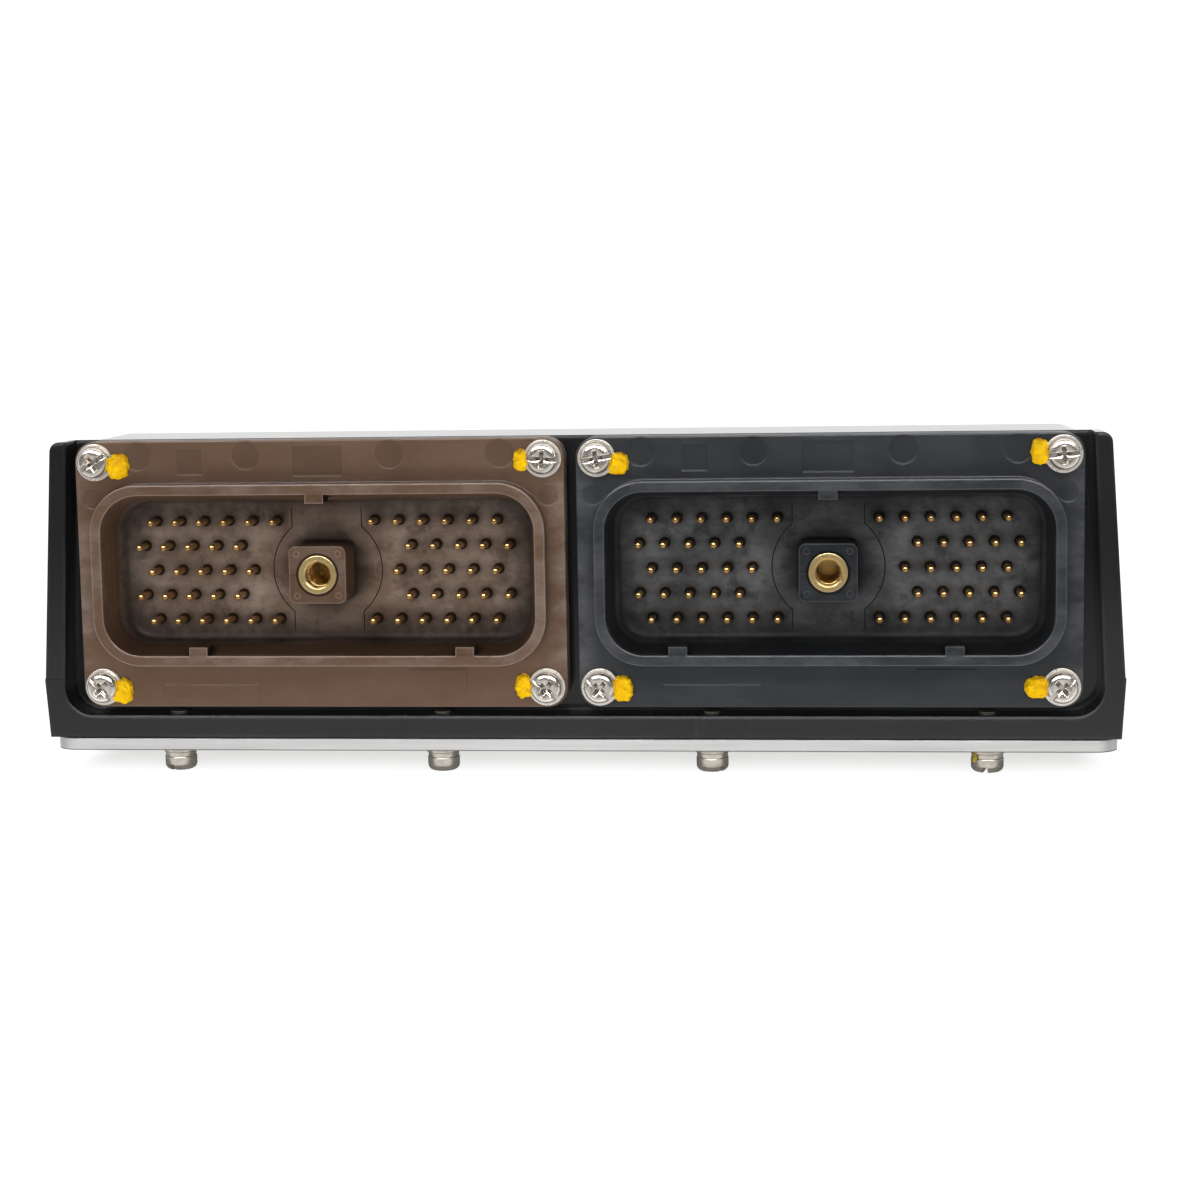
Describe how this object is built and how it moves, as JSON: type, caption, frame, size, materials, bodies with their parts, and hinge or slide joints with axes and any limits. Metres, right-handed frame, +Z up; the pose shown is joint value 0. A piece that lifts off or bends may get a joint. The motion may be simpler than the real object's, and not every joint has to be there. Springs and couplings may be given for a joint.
{
  "type": "engine control unit",
  "caption": "Engine control unit: black cast case with a brown and a black pin header side by side in its front, closed underneath by a screwed aluminium plate.",
  "frame": {"origin": "under the middle of the unit, on the plane that the base screw heads stand on", "axes": "+Z up, +X to the right as seen from the plug side, front with the headers looks towards -Y"},
  "size_m": [0.1816, 0.1536, 0.0565],
  "materials": {
    "case_paint": "black satin paint over a casting",
    "plate_metal": "bare rolled sheet",
    "seal_rubber": "matt",
    "base_screw_zinc": "zinc plated",
    "header_screw_nickel": "nickel plated",
    "header_brown": "moulded, fine matt",
    "header_black": "moulded, fine matt",
    "insert_brass": "turned",
    "contact_gold": "gold flashed",
    "witness_yellow": "thick lacquer",
    "board_laminate": "solder resist",
    "chip_black": "moulded",
    "can_metal": "drawn can",
    "capacitor_sleeve": "shrink sleeve",
    "pad_silicone": "soft filled silicone",
    "ceramic": "fired ceramic",
    "ferrite": "ferrite"
  },
  "bodies": {
    "root": {"housing": "case_paint", "base_plate": "plate_metal", "base_seal": "seal_rubber", "base_screws": "base_screw_zinc", "base_lock_washers": "base_screw_zinc", "base_washers": "base_screw_zinc", "header_left": "header_brown", "header_right": "header_black", "header_seal_left": "seal_rubber", "header_seal_right": "seal_rubber", "jack_insert_left": "insert_brass", "jack_insert_right": "insert_brass", "contacts_left": "contact_gold", "contacts_right": "contact_gold", "header_screws": "header_screw_nickel", "header_washers": "header_screw_nickel", "witness_paint": "witness_yellow", "circuit_board": "board_laminate", "board_screws": "base_screw_zinc", "processor": "chip_black", "memory_chips": "chip_black", "transceivers": "chip_black", "crystal": "can_metal", "voltage_regulator": "chip_black", "driver_transistors": "chip_black", "thermal_pads": "pad_silicone", "storage_capacitors": "capacitor_sleeve", "power_inductor": "ferrite", "filter_capacitors": "ceramic", "chip_resistors": "chip_black", "surge_suppressors": "chip_black"}
  },
  "joints": []
}
